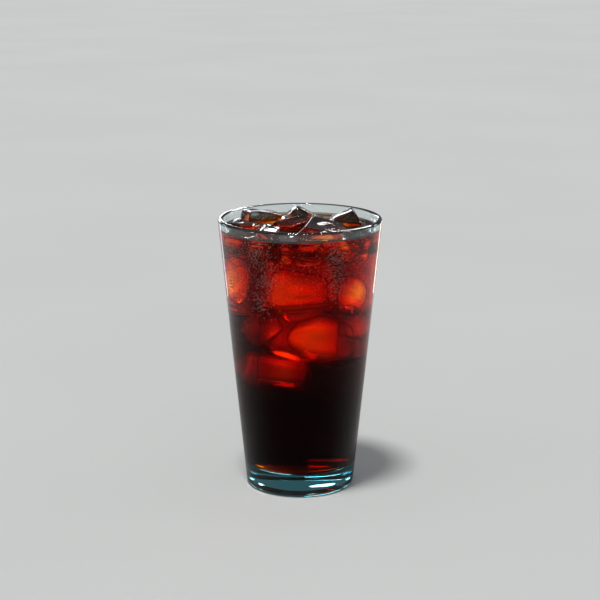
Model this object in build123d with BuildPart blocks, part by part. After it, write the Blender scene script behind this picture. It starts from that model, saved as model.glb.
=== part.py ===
from build123d import *
import os

# Cold brew coffee with clear ice in a conical bar glass. Sizes in millimetres.
# The glass stands on z = 0 with its axis on Z and opens upward.

# --- glass -----------------------------------------------------------------
glass_height = 149.2      # 5 7/8 in
top_radius = 44.45        # half of 3 1/2 in
foot_radius = 29.5        # outer wall line carried down to the table
wall_at_rim = 3.0
inner_slope = 0.1112      # radius the inner wall gains per millimetre of height
floor_z = 12.0            # top of the thick bottom
heel_round = 2.3
lip_round = 1.4
corner_round = 4.5        # inner wall into the floor
dish_depth = 1.2          # hollow under the foot
dish_radius = 21.5
dish_flat = 15.5

# --- drink -----------------------------------------------------------------
coffee_z = 143.0          # level of the coffee, about 6 mm below the rim
melt_round = 0.8          # melted edges of the ice

# The ice that breaks the surface: name, size, centre, (turn about Z, slope
# about Y, slope about X), then the planes cut off the block as
# (direction, distance from the centre) in the block's own axes.
ice = [
    ("ice_back_left", (22, 15, 17), (-21.8, 16.6, 141.4), (21, 9, -3),
     [((-1, 0, 0.2), 10.4), ((0.25, 0.1, -1), 7.6), ((-0.7, 0.7, 0), 11.8),
      ((1, 0, 0.35), 10.6)]),
    ("ice_back_ridge", (23, 13.5, 18), (0.8, 27.2, 139.3), (3, 28, -5),
     [((-1, 0, 0.35), 11.4), ((-0.8, 0, -1), 10.8), ((0.9, 1, 0), 11.4),
      ((0.2, -1, -0.25), 6.6)]),
    ("ice_middle", (21.5, 12.5, 16), (-3.0, 5.4, 139.5), (12, -14, 15),
     [((-1, -0.2, 0.35), 10.0), ((0.2, 0.5, -1), 7.0), ((1, 0.3, 0.3), 10.0),
      ((0.1, 1, 0.7), 7.3), ((-0.7, -1, 0.5), 8.9)]),
    ("ice_front_right", (28, 25, 17), (11.8, -18.4, 140.4), (-12, 8, 7),
     [((-1, 0, 0.75), 12.0), ((-0.4, -1, 0.5), 13.4), ((1, 0.1, 0.8), 12.3),
      ((0.3, -1, -0.4), 12.8), ((0.15, 0.9, 0.8), 13.2), ((0.9, -0.8, 0.2), 14.4),
      ((-0.8, -0.9, -0.1), 15.4)]),
    ("ice_right_peak", (15.5, 14, 16), (26.2, 8.8, 142.2), (4, -25, 3),
     [((1, 0, 0.2), 7.7), ((-0.3, -1, 0.45), 7.6), ((-1, 0, -0.8), 9.4),
      ((0.9, 0.9, 0), 9.0), ((1, -0.5, -0.5), 8.4)]),
    ("ice_left", (15, 11.5, 13), (-30.3, -1.2, 140.2), (-26, 4, 5),
     [((-1, 0.2, 0.3), 7.2), ((0.3, -1, 0.4), 6.6), ((0, 0.3, -1), 5.9),
      ((-0.8, -0.8, 0), 8.2)]),
    ("ice_front_left", (10.5, 16, 14), (-18.4, -20.4, 140.8), (-16, 15, 8),
     [((-1, -0.1, 0.6), 5.6), ((0, 0.9, 0.9), 9.2), ((-0.5, -1, 0.1), 8.2)]),
    ("ice_right_small", (6, 9, 10), (35.0, -3.4, 140.2), (-4, 12, 0),
     [((1, 0, 0.5), 3.4), ((0.2, 1, 0.6), 4.5)]),
]


def inner_radius(z):
    """Radius of the inside of the glass at height z."""
    return top_radius - wall_at_rim - (glass_height - z) * inner_slope


def at_corner(section, r, z):
    """The corner of a half section that is nearest to radius r, height z."""
    return section.vertices().sort_by_distance(Vector(r, z))[0]


# --- the glass: one turned solid with a thick bottom -------------------------
with BuildPart() as glass:
    with BuildSketch(Plane.XZ) as wall_section:
        with BuildLine():
            Polyline(
                (0, dish_depth),
                (dish_flat, dish_depth),
                (dish_radius, 0),
                (foot_radius, 0),
                (top_radius, glass_height),
                (top_radius - wall_at_rim, glass_height),
                (inner_radius(floor_z), floor_z),
                (0, floor_z),
                close=True,
            )
        make_face()
        fillet(at_corner(wall_section, foot_radius, 0), radius=heel_round)
        fillet(at_corner(wall_section, top_radius, glass_height), radius=lip_round)
        fillet(at_corner(wall_section, top_radius - wall_at_rim, glass_height), radius=lip_round)
        fillet(at_corner(wall_section, inner_radius(floor_z), floor_z), radius=corner_round)
        fillet(at_corner(wall_section, dish_flat, dish_depth), radius=3.0)
    revolve(axis=Axis.Z)
glass.part.label = "glass"

# --- the ice: blocks with cut corners and melted edges -----------------------
blocks = []
for name, size, centre, (turn, slope_y, slope_x), cuts in ice:
    where = Pos(*centre) * Rot(0, 0, turn) * Rot(0, slope_y, 0) * Rot(slope_x, 0, 0)
    with BuildPart() as block:
        with Locations(where):
            Box(*size)
        for direction, reach in cuts:
            out = Vector(*direction).normalized()
            cut = Plane(origin=out * reach, z_dir=out)
            split(bisect_by=Plane(where * cut.location), keep=Keep.BOTTOM)
        fillet(block.edges(), radius=melt_round)
    block.part.label = name
    blocks.append(block)

# --- the coffee: fills the glass to its level, cut round the ice -------------
with BuildPart() as coffee:
    with BuildSketch(Plane.XZ) as fill_section:
        with BuildLine():
            Polyline(
                (0, floor_z),
                (inner_radius(floor_z), floor_z),
                (inner_radius(coffee_z), coffee_z),
                (0, coffee_z),
                close=True,
            )
        make_face()
        fillet(at_corner(fill_section, inner_radius(floor_z), floor_z), radius=corner_round)
    revolve(axis=Axis.Z)
    for block in blocks:
        add(block.part, mode=Mode.SUBTRACT)
coffee.part.label = "coffee"

os.makedirs("parts", exist_ok=True)
export_step(glass.part, "parts/glass.step")
export_step(coffee.part, "parts/coffee.step")
for block in blocks:
    export_step(block.part, "parts/" + block.part.label + ".step")
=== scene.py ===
import math
import bpy
import bmesh
import numpy as np
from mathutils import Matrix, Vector


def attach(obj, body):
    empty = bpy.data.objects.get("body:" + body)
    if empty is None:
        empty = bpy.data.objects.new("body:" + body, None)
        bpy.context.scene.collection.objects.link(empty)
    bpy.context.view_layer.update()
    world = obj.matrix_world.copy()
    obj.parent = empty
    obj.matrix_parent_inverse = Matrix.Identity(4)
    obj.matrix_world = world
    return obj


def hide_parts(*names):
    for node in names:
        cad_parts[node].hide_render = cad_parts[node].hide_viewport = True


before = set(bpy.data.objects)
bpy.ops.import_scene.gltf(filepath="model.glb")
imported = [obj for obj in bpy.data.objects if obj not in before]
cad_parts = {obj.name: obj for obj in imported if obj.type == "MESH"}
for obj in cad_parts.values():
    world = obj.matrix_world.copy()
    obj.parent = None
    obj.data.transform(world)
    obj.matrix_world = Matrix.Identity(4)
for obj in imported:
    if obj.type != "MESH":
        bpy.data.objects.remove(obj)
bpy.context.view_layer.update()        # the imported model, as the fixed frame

MM = 0.001
rng = np.random.default_rng(16)

# ---------------------------------------------------------------- sizes (mm)
H, TOP_R, FOOT_R, WALL, SLOPE = 149.2, 44.45, 29.5, 3.0, 0.1112
FLOOR, LEVEL = 12.0, 143.0
SEG = 256


def inner(z):
    return TOP_R - WALL - (H - z) * SLOPE


# ------------------------------------------------------------------- camera
cam_data = bpy.data.cameras.new("camera")
cam_data.sensor_width = 36.0
cam_data.lens = 96.0
cam_data.clip_start = 0.05
cam_data.clip_end = 60.0
camera = bpy.data.objects.new("camera", cam_data)
camera.location = (0.0, -0.8468, 0.3106)
camera.rotation_euler = (math.radians(90.0 - 13.76), 0.0, 0.0)
bpy.context.collection.objects.link(camera)
scene = bpy.context.scene
scene.camera = camera
scene.view_settings.view_transform = "Standard"
scene.cycles.max_bounces = 40
scene.cycles.transmission_bounces = 40
scene.cycles.glossy_bounces = 12
scene.cycles.diffuse_bounces = 4
scene.cycles.transparent_max_bounces = 16
scene.cycles.blur_glossy = 0.3


# ---------------------------------------------------------- mesh from points
def link(mesh, name, material, smooth=True):
    obj = bpy.data.objects.new(name, mesh)
    bpy.context.collection.objects.link(obj)
    mesh.materials.clear()
    mesh.materials.append(material)
    if smooth:
        mesh.polygons.foreach_set("use_smooth", [True] * len(mesh.polygons))
    mesh.update()
    return obj


def rounded(points, radii, steps=8):
    """Points of a flat outline with each corner rounded to its radius."""
    out = []
    for i, (p, r) in enumerate(zip(points, radii)):
        p = np.array(p, float)
        if r <= 0 or i in (0, len(points) - 1):
            out.append(p)
            continue
        a = np.array(points[i - 1], float) - p
        b = np.array(points[i + 1], float) - p
        a /= np.linalg.norm(a)
        b /= np.linalg.norm(b)
        half = math.acos(np.clip(a @ b, -1, 1)) / 2
        reach = r / math.tan(half)
        centre = p + (a + b) / np.linalg.norm(a + b) * r / math.sin(half)
        s, e = p + a * reach - centre, p + b * reach - centre
        turn = math.acos(np.clip(s @ e / r / r, -1, 1))
        for k in range(steps + 1):
            t = k / steps
            out.append(centre + (math.sin((1 - t) * turn) * s + math.sin(t * turn) * e) / math.sin(turn))
    return out


def lathe(name, profile, seg=SEG, top=None):
    """Turns a profile of (radius, height) in mm that starts and ends on the axis.
    top(x, y, z, i) may lift each vertex."""
    ang = np.linspace(0, 2 * math.pi, seg, endpoint=False)
    verts, faces, rings = [], [], []
    for r, z in profile:
        if r < 1e-6:
            rings.append([len(verts)])
            verts.append((0.0, 0.0, z))
        else:
            rings.append(list(range(len(verts), len(verts) + seg)))
            verts += [(r * math.cos(a), r * math.sin(a), z) for a in ang]
    for a, b in zip(rings, rings[1:]):
        for k in range(seg):
            n = (k + 1) % seg
            if len(a) == 1:
                faces.append((a[0], b[n], b[k]))
            elif len(b) == 1:
                faces.append((a[k], a[n], b[0]))
            else:
                faces.append((a[k], a[n], b[n], b[k]))
    v = np.array(verts)
    if top is not None:
        v = top(v)
    mesh = bpy.data.meshes.new(name)
    mesh.from_pydata((v * MM).tolist(), [], faces)
    mesh.validate()
    bm = bmesh.new()
    bm.from_mesh(mesh)
    bmesh.ops.recalc_face_normals(bm, faces=bm.faces)
    bm.to_mesh(mesh)
    bm.free()
    return mesh


def held(profile, step=5.0, hold=0.2):
    """Adds rings along the straight runs of a profile, and one close to each
    end, so that the smooth shading of the corners stays in the corners."""
    out = [np.array(profile[0], float)]
    for a, b in zip(profile, profile[1:]):
        a, b = np.array(a, float), np.array(b, float)
        run = np.linalg.norm(b - a)
        if run > 1.2:
            n = max(1, round((run - 2 * hold) / step))
            for k in range(n + 1):
                out.append(a + (b - a) * (hold + (run - 2 * hold) * k / n) / run)
        out.append(b)
    return [tuple(q) for q in out]


# ---------------------------------------------------------------------- ice
# name, size, centre, (turn about Z, slope about Y, slope about X), cuts
SURFACE_ICE = [
    ("ice_back_left", (22, 15, 17), (-21.8, 16.6, 141.4), (21, 9, -3),
     [((-1, 0, 0.2), 10.4), ((0.25, 0.1, -1), 7.6), ((-0.7, 0.7, 0), 11.8),
      ((1, 0, 0.35), 10.6)]),
    ("ice_back_ridge", (23, 13.5, 18), (0.8, 27.2, 139.3), (3, 28, -5),
     [((-1, 0, 0.35), 11.4), ((-0.8, 0, -1), 10.8), ((0.9, 1, 0), 11.4),
      ((0.2, -1, -0.25), 6.6)]),
    ("ice_middle", (21.5, 12.5, 16), (-3.0, 5.4, 139.5), (12, -14, 15),
     [((-1, -0.2, 0.35), 10.0), ((0.2, 0.5, -1), 7.0), ((1, 0.3, 0.3), 10.0),
      ((0.1, 1, 0.7), 7.3), ((-0.7, -1, 0.5), 8.9)]),
    ("ice_front_right", (28, 25, 17), (11.8, -18.4, 140.4), (-12, 8, 7),
     [((-1, 0, 0.75), 12.0), ((-0.4, -1, 0.5), 13.4), ((1, 0.1, 0.8), 12.3),
      ((0.3, -1, -0.4), 12.8), ((0.15, 0.9, 0.8), 13.2), ((0.9, -0.8, 0.2), 14.4),
      ((-0.8, -0.9, -0.1), 15.4)]),
    ("ice_right_peak", (15.5, 14, 16), (26.2, 8.8, 142.2), (4, -25, 3),
     [((1, 0, 0.2), 7.7), ((-0.3, -1, 0.45), 7.6), ((-1, 0, -0.8), 9.4),
      ((0.9, 0.9, 0), 9.0), ((1, -0.5, -0.5), 8.4)]),
    ("ice_left", (15, 11.5, 13), (-30.3, -1.2, 140.2), (-26, 4, 5),
     [((-1, 0.2, 0.3), 7.2), ((0.3, -1, 0.4), 6.6), ((0, 0.3, -1), 5.9),
      ((-0.8, -0.8, 0), 8.2)]),
    ("ice_front_left", (10.5, 16, 14), (-18.4, -20.4, 140.8), (-16, 15, 8),
     [((-1, -0.1, 0.6), 5.6), ((0, 0.9, 0.9), 9.2), ((-0.5, -1, 0.1), 8.2)]),
    ("ice_right_small", (6, 9, 10), (35.0, -3.4, 140.2), (-4, 12, 0),
     [((1, 0, 0.5), 3.4), ((0.2, 1, 0.6), 4.5)]),
]
SUNK_ICE = [
    # name, size, centre, turns, film of coffee between the block and the wall
    ("s20", (15, 14, 13), (4.5, -34.5, 136.5), (8, -4, -6), 0.4),
    ("s24", (19, 13, 13), (-21.0, -31.0, 136.5), (-28, 6, -6), 0.5),
    ("s29", (16, 13, 13), (26.0, -29.5, 136.5), (38, 5, 4), 0.5),
    ("s1", (29, 19, 26), (-0.5, -21.5, 110.5), (-16, 10, 12), 11.0),
    ("s2", (23, 24, 18), (22.5, -16.5, 111.5), (30, -10, 9), 0.6),
    ("s3", (16, 26, 25), (-30.5, -11.3, 117.0), (-14, 10, 12), 0.4),
    ("s17", (16, 17, 20), (-31.5, -15.5, 134.0), (-24, 5, 8), 0.5),
    ("s16", (16, 24, 14), (31.0, -13.5, 136.0), (22, 8, 0), 0.5),
    ("s15", (17, 27, 15), (-7.6, -15.0, 136.5), (4, -4, 3), 0.4),
    ("s33", (13, 13, 13), (-8.5, -35.5, 137.0), (-10, 0, 0), 0.4),
    ("s4", (30, 35, 35), (-0.7, 5.5, 113.5), (5, 2, 2), 0.6),
    ("s5", (34, 40, 36), (-24.0, 15.6, 113.6), (8, -2, 2), 2.0),
    ("s6", (34, 36, 35), (24.3, 11.4, 113.1), (6, 2, -2), 2.2),
    ("s14", (25, 26, 35), (-0.3, 30.6, 113.1), (9, 2, -1), 0.5),
    ("s22", (16, 27, 14), (13.8, 5.0, 136.5), (3, 0, 4), 0.4),
    ("s21", (32, 22, 14), (0.0, 18.5, 136.0), (-6, 3, 0), 0.4),
    ("s26", (12, 17, 12), (34.0, 8.0, 137.5), (10, 4, 0), 0.4),
    ("s36", (14, 20, 11), (26.0, 2.0, 133.5), (6, 2, 0), 0.4),
    ("s23", (24, 24, 14), (22.0, 24.0, 136.5), (-30, 4, 0), 0.4),
    ("s25", (16, 20, 13), (-34.0, 10.0, 136.5), (25, 4, 0), 0.4),
    ("s30", (20, 20, 14), (-20.5, -2.0, 136.0), (6, 0, 0), 0.4),
    ("s31", (22, 18, 13), (-18.5, 31.0, 136.0), (-20, 0, 0), 0.4),
    ("s34", (18, 14, 13), (15.5, 34.0, 136.0), (24, 0, 0), 0.4),
    ("s7", (33, 24, 22), (9.6, -19.0, 87.5), (-14, 24, 4), 4.8),
    ("s8", (17, 18, 17), (-18.4, -18.3, 94.4), (52, -23, -37), 1.0),
    ("s9", (14, 18, 16), (25.5, 1.0, 92.6), (37, 4, 5), 2.0),
    ("s10", (28, 24, 35), (1.0, 7.0, 87.5), (10, 6, -6), 1.0),
    ("s12", (21, 21, 21), (-6.5, -17.0, 71.5), (38, 14, -10), 2.4),
    ("s18", (30, 19, 35), (4.0, 28.0, 83.5), (14, -6, 4), 1.0),
    ("s19", (24, 24, 18), (-8.0, 12.0, 64.0), (-10, 8, 4), 1.0),
]


def turned(turn, slope_y, slope_x):
    a, b, c = (math.radians(t) for t in (turn, slope_y, slope_x))
    rz = np.array([[math.cos(a), -math.sin(a), 0], [math.sin(a), math.cos(a), 0], [0, 0, 1]])
    ry = np.array([[math.cos(b), 0, math.sin(b)], [0, 1, 0], [-math.sin(b), 0, math.cos(b)]])
    rx = np.array([[1, 0, 0], [0, math.cos(c), -math.sin(c)], [0, math.sin(c), math.cos(c)]])
    return rz @ ry @ rx


class Block:
    """A block of ice: flat faces that meet in melted edges, with shallow
    waves and scoops where it has melted. depth(p) is the distance outside it."""

    def __init__(self, name, size, centre, angles, cuts, melt, wave, scoops, hollow=1.0):
        self.name, self.centre, self.turn = name, np.array(centre, float), turned(*angles)
        planes = []
        for k in range(3):
            for s in (-1, 1):
                n = np.zeros(3)
                n[k] = s
                planes.append((n, size[k] / 2))
        for n, d in cuts:
            n = np.array(n, float)
            planes.append((n / np.linalg.norm(n), d))
        self.n = np.array([p[0] for p in planes])
        self.d = np.array([p[1] for p in planes])
        self.melt, self.wave = melt, wave
        self.film = None
        self.freq = rng.normal(size=(7, 3))
        self.freq *= (2 * math.pi / rng.uniform(5.0, 15.0, 7) / np.linalg.norm(self.freq, axis=1))[:, None]
        self.phase = rng.uniform(0, 2 * math.pi, 7)
        self.scoops = []
        for _ in range(scoops):
            i = rng.integers(0, len(self.d))
            side = rng.normal(size=3)
            side -= side @ self.n[i] * self.n[i]
            side /= np.linalg.norm(side)
            r = rng.uniform(7, 14)
            deep = rng.uniform(0.35, 0.9) * hollow
            shift = rng.uniform(0, 0.45) * min(size)
            if (self.turn @ self.n[i])[2] > -0.3:
                self.scoops.append((self.n[i] * (self.d[i] + r - deep) + side * shift, r))

    def local(self, q):
        x = q @ self.n.T - self.d
        p = q @ self.turn.T + self.centre
        under = np.clip((LEVEL - p[:, 2]) / 2.5, 0, 1)     # coffee melts it smoother than air
        wave = np.sin(q @ self.freq.T + self.phase).sum(1) * self.wave / 2.6 * (1 - 0.7 * under)
        k = self.melt + (max(self.melt, 1.0) - self.melt) * under
        terms = [x]
        for c, r in self.scoops:
            terms.append((r - np.linalg.norm(q - c, axis=1) - 2 * under)[:, None])
        if self.film is not None:          # keeps a film of coffee to the wall
            terms.append((np.linalg.norm(p[:, :2], axis=1) - inner(p[:, 2]) + self.film)[:, None])
            terms.append((p[:, 2] - LEVEL + 1.2)[:, None])
        t = np.concatenate(terms, 1) / k[:, None]
        top = t.max(1)
        return k * (top + np.log(np.exp(t - top[:, None]).sum(1))) + wave

    def depth(self, p):
        return self.local((p - self.centre) @ self.turn)

    def shell(self, dirs, grow=0.0):
        """Points of the surface along each direction from the centre, in mm."""
        lo, hi = np.zeros(len(dirs)), np.full(len(dirs), 40.0)
        for _ in range(26):
            mid = (lo + hi) / 2
            out = self.local(dirs * mid[:, None]) > grow
            hi = np.where(out, mid, hi)
            lo = np.where(out, lo, mid)
        return dirs * lo[:, None] @ self.turn.T + self.centre

    def clear_of(self, other, gap):
        """Cuts this block by the one plane that parts it from its neighbour and
        takes the least off it, so that the two lie face to face."""
        way = self.centre - other.centre
        if np.linalg.norm(way) > 55:
            return True
        mine, theirs = self.shell(v4), other.shell(v4)
        ways = np.concatenate([other.n @ other.turn.T, -self.n @ self.turn.T, [way / np.linalg.norm(way)]])
        reach = (theirs @ ways.T).max(0) + gap
        room = ways @ self.centre - reach
        over = reach - (mine @ ways.T).min(0)
        over[room < 2.0] = 99.0
        i = np.argmin(over)
        if 0 < over[i] < 99.0:
            self.n = np.concatenate([self.n, [-ways[i] @ self.turn]])
            self.d = np.append(self.d, room[i])
        return over[i] < 99.0


def ico(level):
    bm = bmesh.new()
    bmesh.ops.create_icosphere(bm, subdivisions=level, radius=1.0)
    v = np.array([vert.co[:] for vert in bm.verts])
    f = [[x.index for x in face.verts] for face in bm.faces]
    bm.free()
    return v / np.linalg.norm(v, axis=1)[:, None], f


def joined(name, parts, flip=False):
    """One mesh from (points in mm, faces) parts."""
    verts, faces, base = [], [], 0
    for v, f in parts:
        verts.append(v * MM)
        faces += [[i + base for i in (reversed(face) if flip else face)] for face in f]
        base += len(v)
    mesh = bpy.data.meshes.new(name)
    mesh.from_pydata(np.concatenate(verts).tolist(), [], faces)
    mesh.update()
    return mesh


v4, f4 = ico(4)
surface = []
for n, s, c, a, cuts in SURFACE_ICE:
    nicks = []                                  # corners lost as the block broke
    for _ in range(7):
        v = rng.normal(size=3)
        v[np.argmin(abs(v))] *= 0.3
        v /= np.linalg.norm(v)
        if (turned(*a) @ v)[2] < 0:
            v = -v
        nicks.append((v, abs(v) @ np.array(s) / 2 * rng.uniform(0.84, 0.94)))
    round_top = n == "ice_back_ridge"
    surface.append(Block(n, s, c, a, cuts + ([] if round_top else nicks), 1.3 if round_top else 0.22, 0.12, 3 if round_top else 8))
sunk = []
for n, s, c, a, film in SUNK_ICE:
    cuts = []
    for _ in range(3):
        v = rng.normal(size=3)
        v[np.argmin(abs(v))] *= 0.2
        v /= np.linalg.norm(v)
        corner = abs(v) @ np.array(s) / 2
        cuts.append((v, corner * rng.uniform(0.78, 0.92)))
    turn = turned(*a)
    for m, s2, c2, a2, film2 in SUNK_ICE:      # half way to each neighbour
        if m != n and min(c[2], c2[2]) < 108:
            way = np.array(c2, float) - np.array(c, float)
            far = np.linalg.norm(way)
            if far < 45:
                share = 0.5 + 0.25 * (np.mean(s) - np.mean(s2)) / far
                cuts.append((way @ turn / far, far * share - 0.7))
    block = Block(n, s, c, a, cuts, {"s2": 2.0, "s3": 2.0}.get(n, 1.1 if c[2] < 125 else 0.7), 0.05, 2, 0.3)
    block.film = film
    # packed close near the level; a block with no room is left out
    if c[2] < 108 or all([block.clear_of(o, 0.25) for o in surface + sunk]):
        sunk.append(block)
    else:
        print("no room for", n)


# ---------------------------------------------------------------- materials
def material(name):
    m = bpy.data.materials.new(name)
    m.use_nodes = True
    nodes = m.node_tree.nodes
    nodes.clear()
    out = nodes.new("ShaderNodeOutputMaterial")
    bsdf = nodes.new("ShaderNodeBsdfPrincipled")
    m.node_tree.links.new(bsdf.outputs["BSDF"], out.inputs["Surface"])
    return m, m.node_tree, bsdf, out


def noise(tree, scale, detail=3.0, rough=0.5):
    coords = tree.nodes.new("ShaderNodeTexCoord")
    n = tree.nodes.new("ShaderNodeTexNoise")
    n.inputs["Scale"].default_value = scale
    n.inputs["Detail"].default_value = detail
    n.inputs["Roughness"].default_value = rough
    tree.links.new(coords.outputs["Object"], n.inputs["Vector"])
    return n


def ramp(tree, source, stops):
    r = tree.nodes.new("ShaderNodeValToRGB")
    while len(r.color_ramp.elements) < len(stops):
        r.color_ramp.elements.new(0.5)
    for e, (pos, col) in zip(r.color_ramp.elements, stops):
        e.position = pos
        e.color = (*col, 1) if len(col) == 3 else col
    tree.links.new(source, r.inputs["Fac"])
    return r


def bump(tree, bsdf, source, strength, distance):
    b = tree.nodes.new("ShaderNodeBump")
    b.inputs["Strength"].default_value = strength
    b.inputs["Distance"].default_value = distance
    tree.links.new(source, b.inputs["Height"])
    tree.links.new(b.outputs["Normal"], bsdf.inputs["Normal"])
    return b


def masked(tree, value, operation, edge, gain=1.0):
    """gain where value is above (or below) edge, and 0 elsewhere."""
    test = tree.nodes.new("ShaderNodeMath")
    test.operation = operation
    tree.links.new(value, test.inputs[0])
    if isinstance(edge, float):
        test.inputs[1].default_value = edge
    else:
        tree.links.new(edge, test.inputs[1])
    scaled = tree.nodes.new("ShaderNodeMath")
    scaled.operation = "MULTIPLY"
    tree.links.new(test.outputs[0], scaled.inputs[0])
    scaled.inputs[1].default_value = gain
    return scaled.outputs[0]


def wetted(tree, bsdf, dry=1.0, wall=None):
    """Reflection as against air above the coffee's level, and almost none where
    glass, ice and coffee meet, as their indices are close. wall gives the
    reflection of the outside of the glass and of its base."""
    coords = tree.nodes.new("ShaderNodeTexCoord")
    split = tree.nodes.new("ShaderNodeSeparateXYZ")
    tree.links.new(coords.outputs["Object"], split.inputs["Vector"])
    z = split.outputs["Z"]
    masks = [masked(tree, z, "GREATER_THAN", (LEVEL + (0.6 if wall else -0.1)) * MM, dry)]
    if wall:
        flat = tree.nodes.new("ShaderNodeCombineXYZ")
        tree.links.new(split.outputs["X"], flat.inputs["X"])
        tree.links.new(split.outputs["Y"], flat.inputs["Y"])
        length = tree.nodes.new("ShaderNodeVectorMath")
        length.operation = "LENGTH"
        tree.links.new(flat.outputs[0], length.inputs[0])
        line = tree.nodes.new("ShaderNodeMath")      # middle of the wall at this height
        line.operation = "MULTIPLY_ADD"
        line.inputs[1].default_value = SLOPE
        line.inputs[2].default_value = (TOP_R - WALL / 2 - H * SLOPE) * MM
        tree.links.new(z, line.inputs[0])
        masks.append(masked(tree, length.outputs["Value"], "GREATER_THAN", line.outputs[0], wall[0]))
        masks.append(masked(tree, z, "LESS_THAN", (FLOOR - 0.5) * MM, wall[1]))
    mask = masks[0]
    for extra in masks[1:]:
        both = tree.nodes.new("ShaderNodeMath")
        both.operation = "MAXIMUM"
        tree.links.new(mask, both.inputs[0])
        tree.links.new(extra, both.inputs[1])
        mask = both.outputs[0]
    c = ramp(tree, mask, [(0.0, (0.0, 0.0, 0.0)), (1.0, (1.0, 1.0, 1.0))])
    tree.links.new(c.outputs["Color"], bsdf.inputs["Specular Tint"])


def absorb(tree, out, colour, density):
    v = tree.nodes.new("ShaderNodeVolumeAbsorption")
    v.inputs["Color"].default_value = (*colour, 1)
    v.inputs["Density"].default_value = density
    tree.links.new(v.outputs["Volume"], out.inputs["Volume"])


def glass_material():
    m, t, b, out = material("clear_glass")
    b.inputs["Transmission Weight"].default_value = 1.0
    b.inputs["IOR"].default_value = 1.5
    n = noise(t, 26.0, 2.0)
    c = ramp(t, n.outputs["Fac"], [(0.3, (0.985, 1.0, 0.998)), (0.7, (0.995, 1.0, 1.0))])
    t.links.new(c.outputs["Color"], b.inputs["Base Color"])
    smear = noise(t, 90.0, 4.0, 0.6)
    r = ramp(t, smear.outputs["Fac"], [(0.45, (0.0, 0.0, 0.0)), (0.8, (0.02, 0.02, 0.02))])
    t.links.new(r.outputs["Color"], b.inputs["Roughness"])
    bump(t, b, n.outputs["Fac"], 0.10, 0.002)
    wetted(t, b, 1.0, wall=(0.12, 0.7))
    absorb(t, out, (0.25, 0.775, 0.825), 40.0)
    return m


def coffee_material():
    m, t, b, out = material("cold_brew")
    b.inputs["Transmission Weight"].default_value = 1.0
    b.inputs["IOR"].default_value = 1.34
    b.inputs["Roughness"].default_value = 0.0
    n = noise(t, 60.0, 3.0)
    c = ramp(t, n.outputs["Fac"], [(0.3, (0.98, 0.96, 0.95)), (0.7, (1.0, 0.99, 0.98))])
    t.links.new(c.outputs["Color"], b.inputs["Base Color"])
    bump(t, b, n.outputs["Fac"], 0.04, 0.001)
    wetted(t, b)
    absorb(t, out, COFFEE_COLOUR, COFFEE_DENSITY)
    return m


def ice_material(name="wet_ice", rough=0.10, relief=0.10, ior=1.31, top_sheen=0.0):
    m, t, b, out = material(name)
    b.inputs["Transmission Weight"].default_value = 1.0
    b.inputs["IOR"].default_value = ior
    n = noise(t, 220.0, 5.0, 0.6)
    c = ramp(t, n.outputs["Fac"], [(0.35, (0.95, 0.98, 1.0)), (0.7, (1.0, 1.0, 1.0))])
    coords = t.nodes.new("ShaderNodeTexCoord")
    split = t.nodes.new("ShaderNodeSeparateXYZ")
    t.links.new(coords.outputs["Object"], split.inputs["Vector"])
    above = t.nodes.new("ShaderNodeMapRange")       # painted shade: darkens what stands out of the coffee
    above.inputs["From Min"].default_value = (LEVEL - 0.4) * MM
    above.inputs["From Max"].default_value = (LEVEL + 0.2) * MM
    t.links.new(split.outputs["Z"], above.inputs["Value"])
    painted_shade = t.nodes.new("ShaderNodeMix")
    painted_shade.data_type = "RGBA"
    t.links.new(above.outputs["Result"], painted_shade.inputs["Factor"])
    t.links.new(c.outputs["Color"], painted_shade.inputs["A"])
    # painted shade: the grey that the ice above the coffee's level is darkened towards
    painted_shade.inputs["B"].default_value = (0.30, 0.30, 0.29, 1)
    t.links.new(painted_shade.outputs["Result"], b.inputs["Base Color"])
    if top_sheen:                                       # painted highlight: a lilac-white sheen in blotches on what faces up, letting less light through there
        facing = t.nodes.new("ShaderNodeSeparateXYZ")
        t.links.new(coords.outputs["Normal"], facing.inputs["Vector"])
        up = ramp(t, facing.outputs["Z"], [(0.55, (0, 0, 0)), (0.90, (1, 1, 1))])
        blotch = ramp(t, noise(t, 130.0, 3.0, 0.6).outputs["Fac"], [(0.44, (0, 0, 0)), (0.60, (top_sheen, top_sheen, top_sheen))])
        sheen_mask = t.nodes.new("ShaderNodeMath")
        sheen_mask.operation = "MULTIPLY"
        t.links.new(up.outputs["Color"], sheen_mask.inputs[0])
        t.links.new(blotch.outputs["Color"], sheen_mask.inputs[1])
        white = t.nodes.new("ShaderNodeMix")
        white.data_type = "RGBA"
        t.links.new(sheen_mask.outputs[0], white.inputs["Factor"])
        t.links.new(painted_shade.outputs["Result"], white.inputs["A"])
        white.inputs["B"].default_value = (0.74, 0.73, 0.84, 1)
        t.links.new(white.outputs["Result"], b.inputs["Base Color"])
        clear = t.nodes.new("ShaderNodeMath")
        clear.operation = "SUBTRACT"
        clear.inputs[0].default_value = 1.0
        t.links.new(sheen_mask.outputs[0], clear.inputs[1])
        t.links.new(clear.outputs[0], b.inputs["Transmission Weight"])
    skin = noise(t, 120.0, 4.0, 0.65)
    r = ramp(t, skin.outputs["Fac"], [(0.5, (0.0, 0.0, 0.0)), (0.72, (rough, rough, rough))])
    t.links.new(r.outputs["Color"], b.inputs["Roughness"])
    grain = t.nodes.new("ShaderNodeMath")
    grain.operation = "MULTIPLY"
    t.links.new(n.outputs["Fac"], grain.inputs[0])
    t.links.new(above.outputs["Result"], grain.inputs[1])
    bump(t, b, grain.outputs[0], relief, 0.0012)
    wetted(t, b)
    return m


def speck_material():
    m, t, b, out = material("fine_bubbles")
    n = noise(t, 900.0, 2.0)
    c = ramp(t, n.outputs["Fac"], [(0.3, (0.70, 0.66, 0.70)), (0.7, (0.92, 0.88, 0.92))])
    t.links.new(c.outputs["Color"], b.inputs["Base Color"])
    b.inputs["Roughness"].default_value = 0.25
    return m


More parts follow.
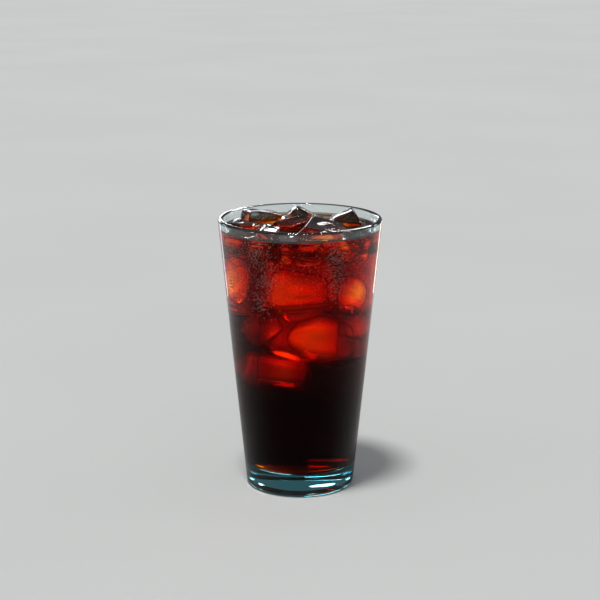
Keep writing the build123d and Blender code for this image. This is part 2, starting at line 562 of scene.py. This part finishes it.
# linear absorption per metre (red, green, blue) of the coffee
ABSORB = np.array([66.0, 330.0, 800.0])
COFFEE_DENSITY = 840.0
COFFEE_COLOUR = tuple(float(v) for v in 1.0 - ABSORB / COFFEE_DENSITY)
glass_mat, coffee_mat, ice_mat, speck_mat = glass_material(), coffee_material(), ice_material(ior=1.337), speck_material()
# ice with a painted highlight on its upward faces, for the back-left block
sheen_ice_mat = ice_material("top_sheen_ice", ior=1.337, top_sheen=0.8)
sunk_mat = ice_material("sunk_ice", 0.03, 0.02, 1.338)   # melting: its skin is close to the coffee

# -------------------------------------------------------------------- glass
wall = [(0, 1.2), (15.5, 1.2), (21.5, 0), (FOOT_R, 0), (TOP_R, H), (TOP_R - WALL, H), (inner(FLOOR), FLOOR), (0, FLOOR)]
wall = rounded(wall, [0, 3.0, 0.6, 2.3, 1.4, 1.4, 4.5, 0], 10)
glass = link(lathe("glass_tumbler", held(wall)), "glass_tumbler", glass_mat)
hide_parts("glass")
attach(glass, "root")

# ------------------------------------------------------------------- coffee
LAP = 0.12       # how far the coffee reaches into the wall, and the ice into the coffee
rim_r = inner(LEVEL) + LAP
fill = rounded([(0, FLOOR - LAP), (inner(FLOOR) + LAP, FLOOR - LAP), (rim_r + 1.4 * SLOPE, LEVEL + 1.4)],
               [0, 4.5 + LAP, 0], 10)
rings = 46
profile = held(fill, 12.0)
for k in range(1, rings + 1):
    r = rim_r * (1 - k / rings)
    profile.append((r if k < rings else 0.0, LEVEL))


def meniscus(v):
    """Lifts the coffee's level where it meets the wall and the ice."""
    on_top = v[:, 2] > LEVEL - 0.5
    p = v[on_top]
    r = np.linalg.norm(p[:, :2], axis=1)
    lift = 1.25 * np.exp(-np.clip(rim_r - r, 0, None) / 1.1)
    near = np.full(len(p), 50.0)
    q = p.copy()
    q[:, 2] = LEVEL
    for b in surface:
        near = np.minimum(near, b.depth(q))
    lift = np.maximum(lift, 0.85 * np.exp(-np.clip(near, 0, None) / 0.9))
    q[:, 2] = LEVEL + lift
    v = v.copy()
    edge = p[:, 2] > LEVEL + 1.0
    q[edge] = p[edge]
    v[on_top] = q
    return v


coffee_mesh = lathe("cold_brew", profile, 208, meniscus)
coffee = link(coffee_mesh, "cold_brew", coffee_mat)

# the ice that breaks the surface, and the hollows it leaves in the coffee
v6, f6 = ico(6)
v5, f5 = ico(5)
cutters, surface_obj = [], []
for b in surface:
    obj = link(joined(b.name + "_cut", [(b.shell(v6), f6)]), b.name + "_cut",
               sheen_ice_mat if b.name == "ice_back_left" else ice_mat)
    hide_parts(b.name)
    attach(obj, "root")
    surface_obj.append(obj)
    cut = bpy.data.objects.new("cutter", joined("cutter", [(b.shell(v5, -LAP), f5)]))
    bpy.context.collection.objects.link(cut)
    cutters.append(cut)
for cut in cutters:
    mod = coffee.modifiers.new("cut", "BOOLEAN")
    mod.operation = "DIFFERENCE"
    mod.solver = "EXACT"
    mod.object = cut
dg = bpy.context.evaluated_depsgraph_get()
carved = bpy.data.meshes.new_from_object(coffee.evaluated_get(dg))
coffee.modifiers.clear()
for cut in cutters:
    bpy.data.objects.remove(cut)

# the hollows of the ice that is wholly sunk
bm = bmesh.new()
bm.from_mesh(carved)
hollow = joined("hollows", [(b.shell(v5, -LAP), f5) for b in sunk], flip=True)
bm.from_mesh(hollow)
final = bpy.data.meshes.new("cold_brew_drink")
bm.to_mesh(final)
bm.free()
coffee.data = final
final.materials.clear()
final.materials.append(coffee_mat)
final.polygons.foreach_set("material_index", [0] * len(final.polygons))
final.polygons.foreach_set("use_smooth", [True] * len(final.polygons))
final.set_sharp_from_angle(angle=math.radians(40))
final.update()
coffee.name = "cold_brew_drink"
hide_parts("coffee")
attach(coffee, "root")

ice_obj = link(joined("ice_sunk", [(b.shell(v5), f5) for b in sunk]), "ice_sunk", sunk_mat)
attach(ice_obj, "root")

# ------------------------------------- fine bubbles on the inside of the wall
v1, f1 = ico(1)
bubbles = []
# (angle from +X, height, spread along the wall, spread in height, count), mm and degrees
for turn, z0, wide, high, count in [
        (-122, 136, 4.5, 7, 260), (-117, 122, 3.8, 6, 240), (-122, 110, 3.2, 5, 150),
        (-63, 133, 3.4, 7, 240), (-60, 121, 3.0, 6, 170), (-143, 128, 5.0, 10, 160),
        (-90, 126, 18, 12, 110), (0, 124, 36, 12, 160), (90, 124, 36, 12, 110), (180, 124, 36, 12, 160),
        (-45, 104, 30, 18, 80)]:
    for _ in range(count):
        z = min(LEVEL - 1.0, max(40.0, z0 + rng.normal() * high * 0.7))
        a = math.radians(turn) + rng.normal() * wide / inner(z)
        size = rng.uniform(0.13, 0.22) + 0.10 * rng.uniform() ** 4
        r = inner(z) - size * 0.4
        bubbles.append((v1 * size + np.array([r * math.cos(a), r * math.sin(a), z]), f1))
specks = link(joined("fine_bubbles", bubbles), "fine_bubbles", speck_mat)
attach(specks, "root")

# ------------------------------------------------------------- stage, lights
floor_mesh = bpy.data.meshes.new("floor")
bm = bmesh.new()
bmesh.ops.create_circle(bm, cap_ends=True, radius=55.0, segments=96)
bm.to_mesh(floor_mesh)
bm.free()
fm, ft, fb, fo = material("pale_floor")
n = noise(ft, 3.0, 2.0)
c = ramp(ft, n.outputs["Fac"], [(0.3, (0.50, 0.51, 0.505)), (0.7, (0.52, 0.53, 0.525))])
ft.links.new(c.outputs["Color"], fb.inputs["Base Color"])
fb.inputs["Roughness"].default_value = 0.9
fb.inputs["Specular IOR Level"].default_value = 0.0
# painted glow: what has come through the ice sees the floor further off glowing with light of its own,
# more so in a ring round the object and in soft patches
GLOW = 1.5
path = ft.nodes.new("ShaderNodeLightPath")
place = ft.nodes.new("ShaderNodeTexCoord")
reach = ft.nodes.new("ShaderNodeVectorMath")
reach.operation = "LENGTH"
ft.links.new(place.outputs["Object"], reach.inputs[0])
beyond = ft.nodes.new("ShaderNodeMapRange")
beyond.inputs["From Min"].default_value = 0.60
beyond.inputs["From Max"].default_value = 0.76
beyond.inputs["To Max"].default_value = 1.5
ft.links.new(reach.outputs["Value"], beyond.inputs["Value"])
crossed = ft.nodes.new("ShaderNodeMath")
crossed.operation = "SUBTRACT"
ft.links.new(path.outputs["Transmission Depth"], crossed.inputs[0])
ft.links.new(beyond.outputs["Result"], crossed.inputs[1])
passed = ft.nodes.new("ShaderNodeMapRange")
passed.inputs["From Min"].default_value = 6.5
passed.inputs["From Max"].default_value = 8.5
ft.links.new(crossed.outputs[0], passed.inputs["Value"])
ring = ramp(ft, reach.outputs["Value"], [(0.25, (0, 0, 0)), (0.40, (1, 1, 1)), (0.58, (1, 1, 1)), (0.74, (0.75, 0.75, 0.75)), (1.0, (0.62, 0.62, 0.62))])
patches = noise(ft, 7.0, 1.0)
patch = ramp(ft, patches.outputs["Fac"], [(0.36, (0.30, 0.30, 0.30)), (0.50, (0.62, 0.62, 0.62)), (0.64, (1, 1, 1))])
strength = passed.outputs["Result"]
for factor in (ring.outputs["Color"], patch.outputs["Color"], GLOW * 1.5):
    product = ft.nodes.new("ShaderNodeMath")
    product.operation = "MULTIPLY"
    ft.links.new(strength, product.inputs[0])
    if isinstance(factor, float):
        product.inputs[1].default_value = factor
    else:
        ft.links.new(factor, product.inputs[1])
    strength = product.outputs[0]
ft.links.new(strength, fb.inputs["Emission Strength"])
fb.inputs["Emission Color"].default_value = (1.0, 0.98, 0.94, 1)
# painted shade: the floor close to the glass, seen through it or in reflections, is darkened as the shade it stands in
through = ft.nodes.new("ShaderNodeMapRange")
through.inputs["From Min"].default_value = 0.5
through.inputs["From Max"].default_value = 1.5
mirrored = ft.nodes.new("ShaderNodeMath")
mirrored.operation = "ADD"
ft.links.new(path.outputs["Transmission Depth"], mirrored.inputs[0])
ft.links.new(path.outputs["Is Glossy Ray"], mirrored.inputs[1])
ft.links.new(mirrored.outputs[0], through.inputs["Value"])
shade = ft.nodes.new("ShaderNodeMapRange")
shade.inputs["From Min"].default_value = 0.20
shade.inputs["From Max"].default_value = 0.40
shade.inputs["To Min"].default_value = 0.90
shade.inputs["To Max"].default_value = 0.0
ft.links.new(reach.outputs["Value"], shade.inputs["Value"])
dim = ft.nodes.new("ShaderNodeMath")
dim.operation = "MULTIPLY"
ft.links.new(through.outputs["Result"], dim.inputs[0])
ft.links.new(shade.outputs["Result"], dim.inputs[1])
shaded = ft.nodes.new("ShaderNodeMix")
shaded.data_type = "RGBA"
ft.links.new(dim.outputs[0], shaded.inputs["Factor"])
ft.links.new(c.outputs["Color"], shaded.inputs["A"])
shaded.inputs["B"].default_value = (0.02, 0.02, 0.02, 1)
ft.links.new(shaded.outputs["Result"], fb.inputs["Base Color"])
fm.cycles.emission_sampling = "NONE"
floor = link(floor_mesh, "floor", fm, smooth=False)

world = bpy.data.worlds.new("studio")
scene.world = world
world.use_nodes = True
wt = world.node_tree
bg = wt.nodes["Background"]
bg.inputs["Strength"].default_value = 0.46
# a plain pale studio, darker as seen through the glass, bright through the ice
wpath = wt.nodes.new("ShaderNodeLightPath")
direct = wt.nodes.new("ShaderNodeMix")
direct.data_type = "RGBA"
clear = wt.nodes.new("ShaderNodeMath")         # not for light that bubbles scatter
clear.operation = "SUBTRACT"
clear.use_clamp = True
gloss = wt.nodes.new("ShaderNodeMath")
gloss.operation = "MULTIPLY_ADD"
gloss.inputs[1].default_value = 0.75
wt.links.new(wpath.outputs["Is Glossy Ray"], gloss.inputs[0])
wt.links.new(wpath.outputs["Is Transmission Ray"], gloss.inputs[2])
wt.links.new(gloss.outputs[0], clear.inputs[0])
wt.links.new(wpath.outputs["Diffuse Depth"], clear.inputs[1])
wt.links.new(clear.outputs[0], direct.inputs["Factor"])
direct.inputs["A"].default_value = (0.90, 0.92, 0.95, 1)
direct.inputs["B"].default_value = (0.23, 0.28, 0.30, 1)
wpassed = wt.nodes.new("ShaderNodeMapRange")
wpassed.inputs["From Min"].default_value = 7.5
wpassed.inputs["From Max"].default_value = 9.5
wt.links.new(wpath.outputs["Transmission Depth"], wpassed.inputs["Value"])
sky = wt.nodes.new("ShaderNodeMix")
sky.data_type = "RGBA"
wt.links.new(wpassed.outputs["Result"], sky.inputs["Factor"])
wt.links.new(direct.outputs["Result"], sky.inputs["A"])
sky.inputs["B"].default_value = (1.5, 1.42, 1.34, 1)
backdrop = wt.nodes.new("ShaderNodeMix")
backdrop.data_type = "RGBA"
wt.links.new(wpath.outputs["Is Camera Ray"], backdrop.inputs["Factor"])
wt.links.new(sky.outputs["Result"], backdrop.inputs["A"])
backdrop.inputs["B"].default_value = (1.30, 1.33, 1.32, 1)
wt.links.new(backdrop.outputs["Result"], bg.inputs["Color"])


def area(name, loc, target, size, power, colour=(1, 1, 1), shape="RECTANGLE"):
    d = bpy.data.lights.new(name, "AREA")
    d.shape = shape
    d.size, d.size_y = size
    d.energy = power
    d.color = colour
    o = bpy.data.objects.new(name, d)
    o.location = loc
    o.rotation_euler = (Vector(target) - Vector(loc)).to_track_quat("-Z", "Y").to_euler()
    o.visible_camera = False
    bpy.context.collection.objects.link(o)
    return o


key = bpy.data.lights.new("overhead", "SUN")
key.energy = 2.4
key.angle = math.radians(9.5)
key.color = (1.0, 0.99, 0.97)
key_obj = bpy.data.objects.new("overhead", key)
key_obj.location = (-0.17, -0.32, 1.6)
key_obj.rotation_euler = (Vector((0, 0, 0)) - key_obj.location).to_track_quat("-Z", "Y").to_euler()
bpy.context.collection.objects.link(key_obj)

# strips and a soft box whose light falls on the drink only, for its edge lights
drink_only = bpy.data.collections.new("drink_only")
for piece in (glass, coffee, ice_obj, specks, *surface_obj):
    drink_only.objects.link(piece)
for strip in (
        area("right_strip", (0.175, 0.33, 0.075), (0, 0, 0.10), (0.025, 0.13), 0.06, (1.0, 0.72, 0.55)),
        area("left_strip", (-0.21, 0.33, 0.060), (0, 0, 0.10), (0.04, 0.12), 0.03, (0.86, 0.84, 1.0)),
        area("rim_box", (0.45, 0.95, 0.95), (0, 0, 0.14), (0.70, 0.30), 14.0, (1.0, 0.99, 1.0)),
        area("back_box", (-0.38, 1.05, 0.345), (0, 0, 0.145), (0.66, 0.10), 2.2, (0.95, 0.94, 1.0)),
        area("base_left", (-0.80, 0.66, 0.36), (0, 0, 0.01), (0.26, 0.12), 0.55, (0.90, 0.97, 1.0), "ELLIPSE"),
        area("base_right", (0.80, 0.66, 0.36), (0, 0, 0.01), (0.26, 0.12), 0.6, (0.90, 0.97, 1.0), "ELLIPSE"),
        area("rim_front", (0.10, -0.55, 0.95), (0, 0, 0.14), (0.70, 0.04), 2.4, (0.86, 0.86, 1.0))):
    strip.light_linking.receiver_collection = drink_only
    strip.visible_transmission = not strip.name.endswith("strip")
